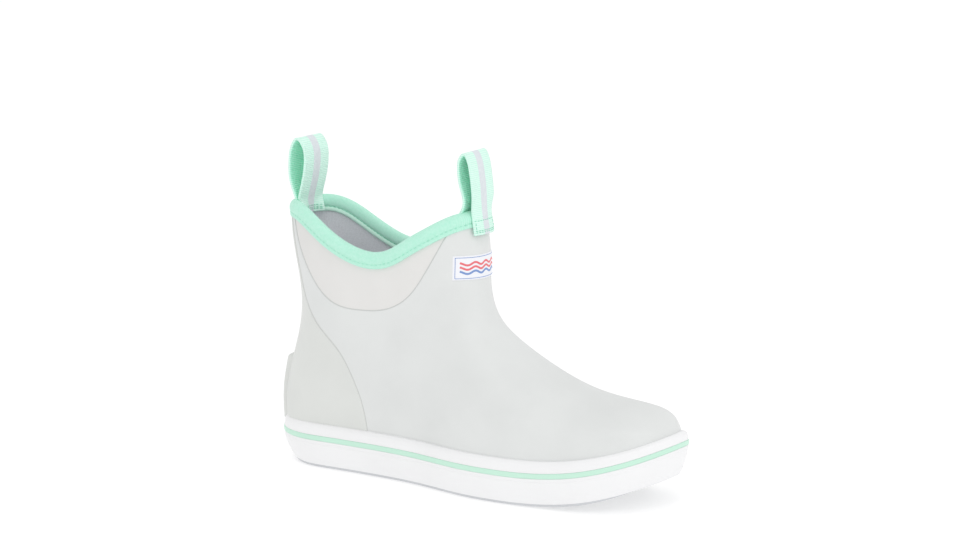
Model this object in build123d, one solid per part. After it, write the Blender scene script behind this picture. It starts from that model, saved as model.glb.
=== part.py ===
"""Right-foot ankle deck boot: light grey rubber upper, wrapped foxing, mint trim, two webbing pull loops.

Frame, millimetres: +X towards the toe, +Y towards the inner (medial) side, +Z up.
The origin is under the middle of the boot's bounding box, on the ground plane.

Heights marked "level" are measured from the sole's own underside, which curls up at the toe. The
curl (toe spring) is added afterwards, so a level is a true height everywhere behind the ball.
Every skin of the boot is the same outer form, moved inwards by a depth: 0 is the outside of the
rubber, a negative depth stands proud of it.
"""
import os

import numpy as np
from build123d import *

os.makedirs("parts", exist_ok=True)

# ---------------------------------------------------------------- driving dimensions
TOE_TIP = 140.0                 # sole's front end, from the origin
SPRING_START, SPRING_RISE, SPRING_POWER = 42.0, 20.0, 2.3

# sole stack, as levels
OUTSOLE_TOP = 4.5
FILLER_TOP = 8.5
BOARD_TOP = 10.5
FOOTBED_TOP = 16.0
COVER_TOP = 17.2
FOXING_TOP = 27.0
STRIPE_LOW, STRIPE_HIGH = 17.9, 20.9
STRIPE_DEPTH, STRIPE_PROUD = 1.0, 0.25
TREAD_DEPTH, TREAD_WIDTH, TREAD_PITCH = 1.8, 1.6, 9.0

# foxing wall: thickness over the rubber upper, and how the wall leans in, as (level, inset)
WALL, WALL_TOE_EXTRA, WALL_HEEL_EXTRA = 4.6, 1.8, 0.6
WALL_PROFILE = [(-1, 5.5), (2, 4.0), (7, 1.9), (13, 0.5), (19.3, 0), (24.5, 0.6), (26, 1.3), (27.6, 3.2)]
HEEL_BEVEL, TOE_BEVEL = 3.4, 1.5  # more inset of the wall's foot at the two ends

# skins of the upper, as depths
BINDING_OUT = -1.2
COUNTER_OUT = -0.5
GORE_OUT = 0.4
RUBBER_IN = 2.4
STIFFENER_IN = 3.4
LINING_IN = 4.4
BINDING_IN = 5.6
WEBBING = 1.6                   # thickness of the pull loops' webbing
WEBBING_WIDTH = 25.0
SOCK_GAP = 0.3                  # footbed to lining

# outer form: profiles in side view (x, level) and half widths in plan
BACK = [(-134.5, 15), (-135.5, 45), (-129.3, 75), (-127.2, 105), (-132.1, 133), (-133.9, 148), (-133.6, 170)]
FRONT = [(133.8, 10), (133.8, 24), (125.7, 36.1), (109.6, 48.5), (85, 57.5), (55, 69.4), (28.3, 85),
         (9.6, 102), (4.1, 122), (3.2, 142), (-2.5, 172)]
FRONT_ROUND = [60, 52, 26, 20, 28, 40, 52, 58, 54, 50, 46]  # how deep the rounding goes behind each point
AXIS_X, AXIS_Y = [-140, -60, 20, 80, 140], [0, 1.5, 3, 5.5, 9.5]
PLAN_X = [-140, -95, -60, -20, 15, 50, 90, 140]
OUTER_HALF = [30.5, 30.5, 31.5, 36, 44, 45.5, 43, 40]
INNER_HALF = [30.5, 30.5, 28.5, 26.5, 31.5, 38, 36, 30]
SHAFT_Z, SHAFT_HALF, SHAFT_Y = [60, 85, 110, 135, 170], [30.5, 27.8, 27.4, 28.3, 29], 1.5
SHAFT_BLEND, THROAT_BLEND = (35, 88), (88, 118)  # foot widths turn into shaft widths: back part, front part
HEEL_Z, HEEL_ROUND = [20, 60, 105, 165], [34, 40, 49, 55]
# straight down below the sole: (height, share of the toe spring)
UNDERFOOT = [(-25, 0), (-16, 0.25), (-8, 0.5), (0, 0.75)]
LEVELS = [8, 20, 28, 36, 44, 51, 58, 65, 73, 83, 94, 107, 122, 140, 158, 178]

# seams and edges in side view (x, z)
TOPLINE = [(-150, 160.5), (-136, 160.5), (-122, 160.8), (-108, 156), (-95, 148.5), (-80, 141), (-62, 136.8),
           (-49, 139.4), (-36, 147), (-22, 155.3), (-8, 162.7), (8, 167)]
BINDING_FOOT = [(-150, 150), (-136, 150), (-124, 148.5), (-107, 140.5), (-91, 133.3), (-75, 128.6),
                (-62, 128), (-49, 131.7), (-35.5, 139.5), (-22, 147.3), (-8, 155.5), (8, 160.5)]
GORE_EDGE = [(-126, 170), (-124, 149), (-117.5, 131), (-105, 113.5), (-90, 103.3), (-70, 101), (-48, 104.5),
             (-35.5, 112), (-23, 129), (-9, 155.5), (-2, 172)]
COUNTER_EDGE = [(-129, 175), (-127.5, 150), (-124, 130), (-117.8, 107.5), (-105, 90.5), (-86, 76), (-73.7, 60.5),
                (-65.5, 43), (-61, 20), (-60, -20)]
TOE_STIFFENER_BACK, TOE_STIFFENER_TOP = 88.0, 44.0
HEEL_STIFFENER_FRONT, HEEL_STIFFENER_TOP = -82.0, 72.0

# kick tab, badge and heel plate
TAB_TOP, TAB_HALF_WIDTH, TAB_PROUD, TAB_FACE_LEVEL = 64.0, 15.0, 4.3, 62.0
BADGE_LOW, BADGE_HIGH, BADGE_Y, BADGE_OUT = 125.5, 138.5, (-19.5, 22.5), -0.6
PLATE_LOW, PLATE_HIGH, PLATE_HALF_WIDTH, PLATE_PROUD = 8.0, 16.5, 11.0, 0.4

# pull loops: middle line of the webbing in side view, from the outer leg over the top to the inner
FRONT_HINGE, REAR_HINGE = (-3.3, 165.5), (-126.1, 162.5)
FRONT_LOOP = [(1.9, 170), (1.2, 180), (-0.2, 190), (-2.2, 197.3), (-4.6, 200.2), (-7.2, 198),
              (-8.6, 190.5), (-7.2, 181), (-4.8, 170)]
REAR_LOOP = [(-128.9, 167), (-131.5, 175), (-131.8, 186), (-129.9, 195.5), (-126, 199.9),
             (-122, 196.3), (-120.1, 187), (-121.5, 176.5), (-124, 167)]
FRONT_END_LOW, REAR_END_LOW = 151.5, 152.5


# ---------------------------------------------------------------- smooth functions
def smooth_curve(xs, ys):
    """A natural cubic spline y(x) through a few knots, level beyond its ends."""
    xs, ys = np.asarray(xs, float), np.asarray(ys, float)
    n, gaps = len(xs), np.diff(xs)
    matrix, right = np.eye(n), np.zeros(n)
    for i in range(1, n - 1):
        matrix[i, i - 1:i + 2] = gaps[i - 1], 2 * (gaps[i - 1] + gaps[i]), gaps[i]
        right[i] = 6 * ((ys[i + 1] - ys[i]) / gaps[i] - (ys[i] - ys[i - 1]) / gaps[i - 1])
    bend = np.linalg.solve(matrix, right)

    def value(x):
        x = np.clip(np.asarray(x, float), xs[0], xs[-1])
        i = np.clip(np.searchsorted(xs, x) - 1, 0, n - 2)
        a, b, k = xs[i + 1] - x, x - xs[i], gaps[i]
        cubic = (bend[i] * a ** 3 + bend[i + 1] * b ** 3) / (6 * k)
        return cubic + (ys[i] / k - bend[i] * k / 6) * a + (ys[i + 1] / k - bend[i + 1] * k / 6) * b

    return value


def smooth_step(low, high, x):
    t = np.clip((x - low) / (high - low), 0, 1)
    return t * t * (3 - 2 * t)


def spring(x):
    """Rise of the sole at x."""
    past = np.clip((x - SPRING_START) / (TOE_TIP - SPRING_START), 0, None)
    return SPRING_RISE * past ** SPRING_POWER


axis_y = smooth_curve(AXIS_X, AXIS_Y)
outer_half = smooth_curve(PLAN_X, OUTER_HALF)
inner_half = smooth_curve(PLAN_X, INNER_HALF)
shaft_half = smooth_curve(SHAFT_Z, SHAFT_HALF)
heel_round = smooth_curve(HEEL_Z, HEEL_ROUND)


# ---------------------------------------------------------------- the boot's form
class Form:
    """The upper's outer form, moved inwards by a depth."""

    def __init__(self, depth=0.0):
        self.depth = depth
        back_x, back_z = np.array(BACK, float).T
        self.back = smooth_curve(back_z, back_x + depth)
        front = np.array(FRONT, float)
        run = np.r_[0, np.cumsum(np.linalg.norm(np.diff(front, axis=0), axis=1))]
        along = np.linspace(-40, run[-1] + 60, 1500)   # runs on straight past both ends
        inside = np.clip(along, 0, run[-1])
        line = np.column_stack([smooth_curve(run, column)(inside) for column in front.T])
        line[:, 1] += along - inside
        slope = np.gradient(line, axis=0)
        slope /= np.linalg.norm(slope, axis=1)[:, None]
        line += depth * np.column_stack([-slope[:, 1], slope[:, 0]])
        line[:, 1] = np.maximum.accumulate(line[:, 1])
        spacing = np.linalg.norm(np.gradient(line, axis=0), axis=1)
        self.line = line
        self.weight = 2 / np.pi * spacing * smooth_curve(run, FRONT_ROUND)(inside) ** 3

    def front(self, level):
        return np.interp(level, self.line[:, 1], self.line[:, 0])

    def edge(self, x, level):
        """Distance to the front profile over its rounding depth, smoothed round its bends."""
        gap = (x[:, None] - self.line[:, 0]) ** 2 + (level - self.line[:, 1]) ** 2
        return (self.weight / np.maximum(gap, 1e-4) ** 2).sum(axis=1) ** (-1 / 3)

    def half(self, x, level, side):
        """Half width at x on one side: -1 is the outer side of the foot, +1 the inner."""
        ahead = (1 - smooth_step(-45, 45, -x)) * (1 - smooth_step(*THROAT_BLEND, level))
        shaft = smooth_step(*SHAFT_BLEND, level) * (1 - ahead)
        foot = outer_half(x) if side < 0 else inner_half(x)
        width = (1 - shaft) * foot + shaft * shaft_half(level) - self.depth
        heel = np.clip((x - self.back(level)) / heel_round(level), 0, 1)
        edge = np.clip(self.edge(x, level), 0, 1)
        return width * (1 - (1 - heel) ** 2.2) ** (1 / 2.2) * (1 - (1 - edge) ** 2.1) ** (1 / 2.25)

    def middle(self, x, level):
        shaft = smooth_step(40, 100, level)
        return (1 - shaft) * axis_y(x) + shaft * SHAFT_Y

    def ring(self, level, count=25):
        """Points round the form at a level, from the heel along the outer side to the toe and back."""
        back, front = float(self.back(level)), float(self.front(level))
        x = back + (front - back) * (1 - np.cos(np.linspace(0, np.pi, count))) / 2
        middle = self.middle(x, level)
        outer = np.column_stack([x, middle - self.half(x, level, -1)])
        inner = np.column_stack([x, middle + self.half(x, level, 1)])
        ends = np.array([[back, float(self.middle(back, level))], [front, float(self.middle(front, level))]])
        outer[0], outer[-1] = ends
        return np.vstack([outer, inner[-2:0:-1]])


def closed_wire(plan, heights):
    """A closed spline through plan points at given heights, with evenly spaced parameters."""
    points = [Vector(float(x), float(y), float(z)) for (x, y), z in zip(plan, heights)]
    parameters = [i / len(points) for i in range(len(points) + 1)]
    return Wire([Edge.make_spline(points, periodic=True, parameters=parameters)])


def make_body(depth):
    """A solid of the form at a depth, from well under the sole to above the collar."""
    form = Form(depth)
    first = form.ring(LEVELS[0])
    wires = [closed_wire(first, low + share * spring(first[:, 0])) for low, share in UNDERFOOT]
    for level in LEVELS:
        plan = form.ring(level)
        wires.append(closed_wire(plan, level + spring(plan[:, 0])))
    return Solid.make_loft(wires)


# ---------------------------------------------------------------- sole outline and cutting tools
def sole_outline(inset, level_share=0.0, count=33):
    """Plan points of the sole's widest outline moved inwards; level_share is 1 at the wall's foot."""
    plan = Form().ring(20.0, count)
    tangent = np.roll(plan, -1, axis=0) - np.roll(plan, 1, axis=0)
    tangent /= np.linalg.norm(tangent, axis=1)[:, None]
    outward = np.column_stack([tangent[:, 1], -tangent[:, 0]])
    x = plan[:, 0]
    toe, heel = smooth_step(85, 136, x), smooth_step(95, 136, -x)
    grow = WALL + WALL_TOE_EXTRA * toe + WALL_HEEL_EXTRA * heel - inset
    grow -= level_share * (HEEL_BEVEL * heel + TOE_BEVEL * toe)
    return plan + outward * grow[:, None]


def make_wall(inset=0.0):
    """The whole sole's outer shape: ruled between the wall profile's levels."""
    wires = []
    for level, lean in WALL_PROFILE:
        plan = sole_outline(lean + inset, (1 - level / 20.0) ** 2 if level < 20 else 0.0)
        if not wires:
            wires.append(closed_wire(plan, np.full(len(plan), -30.0)))
        wires.append(closed_wire(plan, level + spring(plan[:, 0])))
    wires.append(closed_wire(plan, np.full(len(plan), 90.0)))
    return Solid.make_loft(wires, ruled=True)


def side_prism(edges, low_y=-80.0, high_y=80.0):
    """A prism along Y over a closed outline drawn in side view."""
    face = Face(Wire(edges))
    if face.normal_at().Y < 0:
        face = -face
    return Solid.extrude(face.moved(Location((0, low_y, 0))), Vector(0, high_y - low_y, 0))


def side_spline(points):
    return Edge.make_spline([Vector(x, 0, z) for x, z in points])


def side_line(*points):
    corners = [Vector(x, 0, z) for x, z in points]
    return [Edge.make_line(a, b) for a, b in zip(corners, corners[1:])]


def slab(low, high):
    """Everything between two levels, following the toe spring."""
    def surface(level):
        xs = np.linspace(SPRING_START, 150, 9)
        return [(float(x), float(level + spring(x))) for x in xs]
    under, over = surface(low), surface(high)
    outline = side_line((SPRING_START, high), (-170, high), (-170, low), (SPRING_START, low))
    return side_prism(outline + [side_spline(under)] + side_line(under[-1], over[-1]) + [side_spline(over)])


def under_line(points, drop=0.0):
    """Everything under a side-view line moved down by a drop, and everything low in front of it."""
    line = [(x, z - drop) for x, z in points]
    front, back = line[-1], line[0]
    return side_prism([side_spline(line)] + side_line(front, (150, front[1]), (150, -60), (back[0], -60), back))


def block(x, y, z):
    """An upright box from three (low, high) pairs."""
    size = [b - a for a, b in (x, y, z)]
    return Solid.make_box(*size).moved(Location((x[0], y[0], z[0])))


def cut(base, *tools):
    for tool in tools:
        base = base - tool
    return base


# ---------------------------------------------------------------- shared solids
ROOF = 200.0                    # a level above everything

outer = make_body(0.0)
rubber_back = make_body(RUBBER_IN)
lining_back = make_body(LINING_IN)
counter_face = make_body(COUNTER_OUT)
binding_face = make_body(BINDING_OUT)
binding_back = make_body(BINDING_IN)
wall = make_wall()

behind_counter = side_prism([side_spline(COUNTER_EDGE)] + side_line(COUNTER_EDGE[-1], (-170, -20), (-170, 175),
                                                                  COUNTER_EDGE[0]))
gore_window = side_prism([side_spline(GORE_EDGE)] + side_line(GORE_EDGE[-1], GORE_EDGE[0]))
under_crest = under_line(TOPLINE, -BINDING_OUT)
over_board = slab(FILLER_TOP, ROOF)


def skin(outside, inside, *rooms):
    """The shell between two bodies, kept inside each of the rooms."""
    shell = outside - inside
    for room in rooms:
        shell = shell & room
    return shell


def side_half(side):
    """Everything on one side of the shaft's middle plane."""
    return block((-170, 170), (SHAFT_Y, 90) if side > 0 else (-90, SHAFT_Y), (-60, ROOF))


# ---------------------------------------------------------------- upper
def make_vamp():
    """Grey rubber from the toe back to the heel counter, cut away for the two side panels."""
    return cut(skin(outer, rubber_back, over_board, under_crest), behind_counter, gore_window)


def make_heel_counter():
    """Back stay widening to the heel quarter, a raised overlay with its own thick edge."""
    return skin(counter_face, rubber_back, over_board, under_crest, behind_counter)


def make_gore(side):
    """Softer side panel under the dip of the collar."""
    return skin(make_body(GORE_OUT), rubber_back, under_crest, gore_window, side_half(side))


def make_toe_stiffener():
    front = block((TOE_STIFFENER_BACK, 170), (-90, 90), (0, ROOF))
    return skin(rubber_back, make_body(STIFFENER_IN), slab(BOARD_TOP, TOE_STIFFENER_TOP), front)


def make_heel_stiffener():
    heel = block((-170, HEEL_STIFFENER_FRONT), (-90, 90), (0, ROOF))
    return skin(rubber_back, make_body(STIFFENER_IN), slab(BOARD_TOP, HEEL_STIFFENER_TOP), heel)


def make_lining(*pockets):
    """Full sock lining, thinner where the stiffeners sit behind the rubber."""
    return cut(skin(rubber_back, lining_back, over_board, under_crest), *pockets)


def make_collar_band():
    """The whole thickness wrapped by the collar tape, boot wall included."""
    return skin(binding_face, binding_back, under_line(TOPLINE)) - under_line(BINDING_FOOT)


def make_kick_tab():
    """Upright ledge on the heel to push the boot off with."""
    plan = Form(-TAB_PROUD).ring(TAB_FACE_LEVEL)
    face = Face(closed_wire(plan, np.full(len(plan), FOXING_TOP)))
    column = Solid.extrude(face, Vector(0, 0, TAB_TOP - FOXING_TOP))
    middle = float(axis_y(-TOE_TIP))
    patch = block((-170, -100), (middle - TAB_HALF_WIDTH, middle + TAB_HALF_WIDTH), (FOXING_TOP, TAB_TOP))
    return (column & patch) - counter_face


def make_badge():
    patch = block((-40, 40), BADGE_Y, (BADGE_LOW, BADGE_HIGH))
    return skin(make_body(BADGE_OUT), outer, patch)


# ---------------------------------------------------------------- sole
def outline_prism(inset):
    plan = sole_outline(inset)
    return Solid.extrude(Face(closed_wire(plan, np.full(len(plan), -30.0))), Vector(0, 0, 120))


def make_tread():
    """Chevron grooves across the underside, stopping short of its edge."""
    zone = outline_prism(10.0) & slab(-6, TREAD_DEPTH)
    grooves = []
    for x in np.arange(-130, 134, TREAD_PITCH):
        left, tip, right = (x - 9, -60), (x, float(axis_y(x))), (x - 9, 60)
        corners = [left, tip, right]
        corners += [(a + TREAD_WIDTH, b) for a, b in reversed(corners)]
        cutter = extrude(make_face(Polyline(*corners, close=True)), 60).solid()
        grooves.append(cutter.moved(Location((0, 0, -8))))
    return zone & Compound(grooves)


def make_outsole():
    return (wall & slab(0, OUTSOLE_TOP)) - make_tread()


def make_stripe():
    band = slab(STRIPE_LOW, STRIPE_HIGH)
    return skin(make_wall(-STRIPE_PROUD), make_wall(STRIPE_DEPTH), band)


def make_filler():
    return outline_prism(WALL + RUBBER_IN + 0.5) & slab(OUTSOLE_TOP, FILLER_TOP)


def make_foxing(*inner_parts):
    """Rubber band wrapped round the foot of the upper, with a channel for the stripe."""
    channel = slab(STRIPE_LOW, STRIPE_HIGH) - make_wall(STRIPE_DEPTH)
    return cut(wall & slab(OUTSOLE_TOP, FOXING_TOP), outer & over_board, channel, *inner_parts)


def make_heel_plate():
    patch = block((-170, -100), (-PLATE_HALF_WIDTH, PLATE_HALF_WIDTH), (PLATE_LOW, PLATE_HIGH))
    return skin(make_wall(-PLATE_PROUD), wall, patch)


# ---------------------------------------------------------------- pull loops
LOOP_Y = (SHAFT_Y - WEBBING_WIDTH / 2, SHAFT_Y + WEBBING_WIDTH / 2)
UNDER_WEBBING = BINDING_IN + WEBBING
# one layer of webbing on each face of the collar
FRONT_LAYERS = [(BINDING_OUT - WEBBING, COUNTER_OUT), (LINING_IN, UNDER_WEBBING)]
REAR_LAYERS = [(LINING_IN, UNDER_WEBBING), (UNDER_WEBBING, UNDER_WEBBING + WEBBING)]  # both on the inner face


def make_loop(points):
    """A strip of webbing bent round a side-view line."""
    line = side_spline(points)
    steps = np.linspace(0, 1, 25)
    faces = []
    for offset in (-WEBBING / 2, WEBBING / 2):
        rim = []
        for step in steps:
            place, along = line @ step, line % step
            rim.append((place.X - along.Z * offset, place.Z + along.X * offset))
        faces.append(rim)
    low, high = faces
    return side_prism([side_spline(low)] + side_line(low[-1], high[-1]) + [side_spline(high)]
                      + side_line(high[0], low[0]), *LOOP_Y)


def make_loop_ends(x_range, low, hinge, layers, band):
    """The loop's two sewn ends: layers of webbing on the collar, each from one depth to another."""
    reach = block(x_range, LOOP_Y, (low, hinge[1])) & under_line(TOPLINE, -0.3)
    ends = [(make_body(face) - make_body(back)) & reach for face, back in layers]
    return Compound([piece for end in ends for piece in (end - band).solids()])


# ---------------------------------------------------------------- assembly
def make_parts():
    toe_stiffener, heel_stiffener = make_toe_stiffener(), make_heel_stiffener()
    heel_counter, filler, band = make_heel_counter(), make_filler(), make_collar_band()
    sock_room = make_body(LINING_IN + SOCK_GAP)
    return {
        "outsole": make_outsole(),
        "midsole_filler": filler,
        "foxing_band": make_foxing(filler, heel_counter),
        "foxing_stripe": make_stripe(),
        "heel_plate": make_heel_plate(),
        "insole_board": lining_back & slab(FILLER_TOP, BOARD_TOP),
        "footbed": sock_room & slab(BOARD_TOP, FOOTBED_TOP),
        "footbed_cover": sock_room & slab(FOOTBED_TOP, COVER_TOP),
        "vamp": make_vamp(),
        "heel_counter": heel_counter,
        "outer_gore": make_gore(-1),
        "inner_gore": make_gore(1),
        "kick_tab": make_kick_tab(),
        "lining": make_lining(toe_stiffener, heel_stiffener),
        "toe_stiffener": toe_stiffener,
        "heel_stiffener": heel_stiffener,
        "collar_binding": cut(band, skin(outer, lining_back, under_crest), heel_counter),
        "front_badge": make_badge(),
        "front_loop_ends": make_loop_ends((-40, 40), FRONT_END_LOW, FRONT_HINGE, FRONT_LAYERS, band),
        "rear_loop_ends": make_loop_ends((-170, -90), REAR_END_LOW, REAR_HINGE, REAR_LAYERS, band),
        "front_pull_loop": make_loop(FRONT_LOOP),
        "rear_pull_loop": make_loop(REAR_LOOP),
    }


for node, shape in make_parts().items():
    export_step(shape, f"parts/{node}.step")
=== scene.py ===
"""Looks of the ankle deck boot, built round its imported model. Lengths are millimetres up to add_piece."""
import math

import bmesh
import bpy
import numpy as np
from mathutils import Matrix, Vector


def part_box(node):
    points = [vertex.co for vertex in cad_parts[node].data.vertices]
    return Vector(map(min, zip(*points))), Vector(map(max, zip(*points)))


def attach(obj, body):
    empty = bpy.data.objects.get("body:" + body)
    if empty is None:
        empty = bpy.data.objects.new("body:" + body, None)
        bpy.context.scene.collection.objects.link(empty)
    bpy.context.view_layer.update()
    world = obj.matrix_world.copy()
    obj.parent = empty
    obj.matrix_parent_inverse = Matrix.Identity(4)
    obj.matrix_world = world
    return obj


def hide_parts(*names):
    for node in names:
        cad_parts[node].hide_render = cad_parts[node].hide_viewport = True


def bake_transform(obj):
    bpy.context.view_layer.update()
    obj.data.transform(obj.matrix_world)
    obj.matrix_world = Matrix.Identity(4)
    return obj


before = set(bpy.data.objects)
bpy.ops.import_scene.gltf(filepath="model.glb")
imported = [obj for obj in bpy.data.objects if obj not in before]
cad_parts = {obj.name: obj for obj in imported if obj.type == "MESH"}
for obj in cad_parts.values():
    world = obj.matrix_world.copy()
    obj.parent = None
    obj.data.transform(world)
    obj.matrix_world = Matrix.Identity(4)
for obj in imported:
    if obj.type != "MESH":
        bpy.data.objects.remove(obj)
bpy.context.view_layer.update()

# ---------------------------------------------------------------- the boot's form
# These are the model's own numbers, but for a toe tip and sole ends that are a few millimetres slimmer.
TOE_TIP, SPRING_START, SPRING_RISE, SPRING_POWER = 140.0, 42.0, 20.0, 2.3
WALL, WALL_TOE_EXTRA, WALL_HEEL_EXTRA, HEEL_BEVEL, TOE_BEVEL = 4.6, -1.4, -2.0, 3.4, 1.5
WALL_LEAN = [(-1, 5.5), (2, 4.0), (7, 1.9), (13, 0.5), (19.3, 0), (24.5, 0.6), (26, 1.3), (27.6, 3.2)]
BACK = [(-134.5, 15), (-135.5, 45), (-129.3, 75), (-127.2, 105), (-132.1, 133), (-133.9, 148), (-133.6, 170)]
FRONT = [(132.2, 10), (131.9, 24), (125.7, 36.1), (109.6, 48.5), (85, 57.5), (55, 69.4), (28.3, 85),
         (9.6, 102), (4.1, 122), (3.2, 142), (-2.5, 172)]
FRONT_ROUND = [60, 52, 26, 20, 28, 40, 52, 58, 54, 50, 46]
AXIS_X, AXIS_Y = [-140, -60, 20, 80, 140], [0, 1.5, 3, 5.5, 9.5]
PLAN_X = [-140, -95, -60, -20, 15, 50, 90, 140]
OUTER_HALF = [30.5, 30.5, 31.5, 36, 44, 45.5, 43, 40]
INNER_HALF = [30.5, 30.5, 28.5, 26.5, 31.5, 38, 36, 30]
SHAFT_Z, SHAFT_HALF, SHAFT_Y = [60, 85, 110, 135, 170], [30.5, 27.8, 27.4, 28.3, 29], 1.5
HEEL_Z, HEEL_ROUND = [20, 60, 105, 165], [34, 40, 49, 55]
LEVELS = [8, 20, 28, 36, 44, 51, 58, 65, 73, 83, 94, 107, 122, 140, 158, 178]
TOPLINE = [(-150, 160.5), (-136, 160.5), (-122, 160.8), (-108, 156), (-95, 148.5), (-80, 141), (-62, 136.8),
           (-49, 139.4), (-36, 147), (-22, 155.3), (-8, 162.7), (8, 167)]
GORE_EDGE = [(-126, 170), (-124, 149), (-117.5, 131), (-105, 113.5), (-90, 103.3), (-70, 101), (-48, 104.5),
             (-35.5, 112), (-23, 129), (-9, 155.5), (-2, 172)]
COUNTER_EDGE = [(-129, 175), (-127.5, 150), (-124, 130), (-117.8, 107.5), (-105, 90.5), (-86, 76),
                (-73.7, 60.5), (-65.5, 43), (-61, 20), (-60, -20)]
FRONT_LOOP = [(1.9, 170), (1.2, 180), (-0.2, 190), (-2.2, 197.3), (-4.6, 200.2), (-7.2, 198),
              (-8.6, 190.5), (-7.2, 181), (-4.8, 170)]
REAR_LOOP = [(-128.9, 167), (-131.5, 175), (-131.8, 186), (-129.9, 195.5), (-126, 199.9),
             (-122, 196.3), (-120.1, 187), (-121.5, 176.5), (-124, 167)]
FRONT_HINGE, REAR_HINGE = (-3.3, 165.5), (-126.1, 162.5)
FRONT_END_LOW, REAR_END_LOW = 151.5, 153.0
LINING_IN, WEBBING, WEBBING_WIDTH = 4.4, 1.6, 25.0
RUBBER_LOW = 22.0                   # the upper's rubber ends here, behind the sole wall
RUBBER, SEAM_LOW, GORE_SINK = 1.7, 23.5, 0.5
COUNTER_TOP, COUNTER_PROUD, LIP_WIDTH, KICK_TAB_PROUD = 158.5, 0.5, 2.6, 3.0
BADGE_END = -17.7                   # y of the badge's outer end
WALL_POINTS = 420                   # points round the sole wall
STITCH, STITCH_RADIUS = 2.0, 0.26
TUCK_TOE, TUCK_HEEL, NARROW_TOE, NARROW_HEEL = 5.1, 2.7, 0.04, 0.03


def smooth_curve(xs, ys):
    """A natural cubic spline through knots, level beyond its ends. Each knot's value may be a row."""
    xs, ys = np.asarray(xs, float), np.asarray(ys, float)
    n, gaps = len(xs), np.diff(xs)
    matrix, right = np.eye(n), np.zeros((n,) + ys.shape[1:])
    for i in range(1, n - 1):
        matrix[i, i - 1:i + 2] = gaps[i - 1], 2 * (gaps[i - 1] + gaps[i]), gaps[i]
        right[i] = 6 * ((ys[i + 1] - ys[i]) / gaps[i] - (ys[i] - ys[i - 1]) / gaps[i - 1])
    bend = np.linalg.solve(matrix, right)

    def value(x):
        x = np.clip(np.asarray(x, float), xs[0], xs[-1])
        i = np.clip(np.searchsorted(xs, x) - 1, 0, n - 2)
        spread = (...,) + (None,) * (ys.ndim - 1)
        a, b, k = (xs[i + 1] - x)[spread], (x - xs[i])[spread], gaps[i][spread]
        cubic = (bend[i] * a ** 3 + bend[i + 1] * b ** 3) / (6 * k)
        return cubic + (ys[i] / k - bend[i] * k / 6) * a + (ys[i + 1] / k - bend[i + 1] * k / 6) * b

    return value


def smooth_step(low, high, x):
    t = np.clip((np.asarray(x, float) - low) / (high - low), 0, 1)
    return t * t * (3 - 2 * t)


def spring(x):
    past = np.clip((x - SPRING_START) / (TOE_TIP - SPRING_START), 0, None)
    return SPRING_RISE * past ** SPRING_POWER


axis_y = smooth_curve(AXIS_X, AXIS_Y)
outer_half = smooth_curve(PLAN_X, OUTER_HALF)
inner_half = smooth_curve(PLAN_X, INNER_HALF)
shaft_half = smooth_curve(SHAFT_Z, SHAFT_HALF)
heel_round = smooth_curve(HEEL_Z, HEEL_ROUND)
topline = smooth_curve(*np.transpose(TOPLINE))


class Form:
    """The upper's outer form moved inwards by a depth."""

    def __init__(self, depth=0.0):
        self.depth = depth
        back_x, back_z = np.array(BACK, float).T
        self.back = smooth_curve(back_z, back_x + depth)
        front = np.array(FRONT, float)
        run = np.r_[0, np.cumsum(np.linalg.norm(np.diff(front, axis=0), axis=1))]
        along = np.linspace(-40, run[-1] + 60, 1500)
        inside = np.clip(along, 0, run[-1])
        line = smooth_curve(run, front)(inside)
        line[:, 1] += along - inside
        slope = np.gradient(line, axis=0)
        slope /= np.linalg.norm(slope, axis=1)[:, None]
        line += depth * np.column_stack([-slope[:, 1], slope[:, 0]])
        line[:, 1] = np.maximum.accumulate(line[:, 1])
        spacing = np.linalg.norm(np.gradient(line, axis=0), axis=1)
        self.line = line
        self.weight = 2 / np.pi * spacing * smooth_curve(run, FRONT_ROUND)(inside) ** 3

    def front(self, level):
        return np.interp(level, self.line[:, 1], self.line[:, 0])

    def half(self, x, level, side):
        ahead = (1 - smooth_step(-45, 45, -x)) * (1 - smooth_step(88, 118, level))
        shaft = smooth_step(35, 88, level) * (1 - ahead)
        foot = outer_half(x) if side < 0 else inner_half(x)
        width = (1 - shaft) * foot + shaft * shaft_half(level) - self.depth
        heel = np.clip((x - self.back(level)) / heel_round(level), 0, 1)
        gap = (x[:, None] - self.line[:, 0]) ** 2 + (level - self.line[:, 1]) ** 2
        edge = np.clip((self.weight / np.maximum(gap, 1e-4) ** 2).sum(axis=1) ** (-1 / 3), 0, 1)
        return width * (1 - (1 - heel) ** 2.2) ** (1 / 2.2) * (1 - (1 - edge) ** 2.1) ** (1 / 2.25)

    def middle(self, x, level):
        shaft = smooth_step(40, 100, level)
        return (1 - shaft) * axis_y(x) + shaft * SHAFT_Y

    def ring(self, level, count=25):
        """Plan points round the form at a level: heel, inner side, toe, outer side."""
        back, front = float(self.back(level)), float(self.front(level))
        x = back + (front - back) * (1 - np.cos(np.linspace(0, np.pi, count))) / 2
        middle = self.middle(x, level)
        outer, inner = self.half(x, level, -1), self.half(x, level, 1)
        outer[[0, -1]] = inner[[0, -1]] = 0
        inner_side, outer_side = np.column_stack([x, middle + inner]), np.column_stack([x, middle - outer])
        return np.vstack([inner_side, outer_side[-2:0:-1]])


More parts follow.
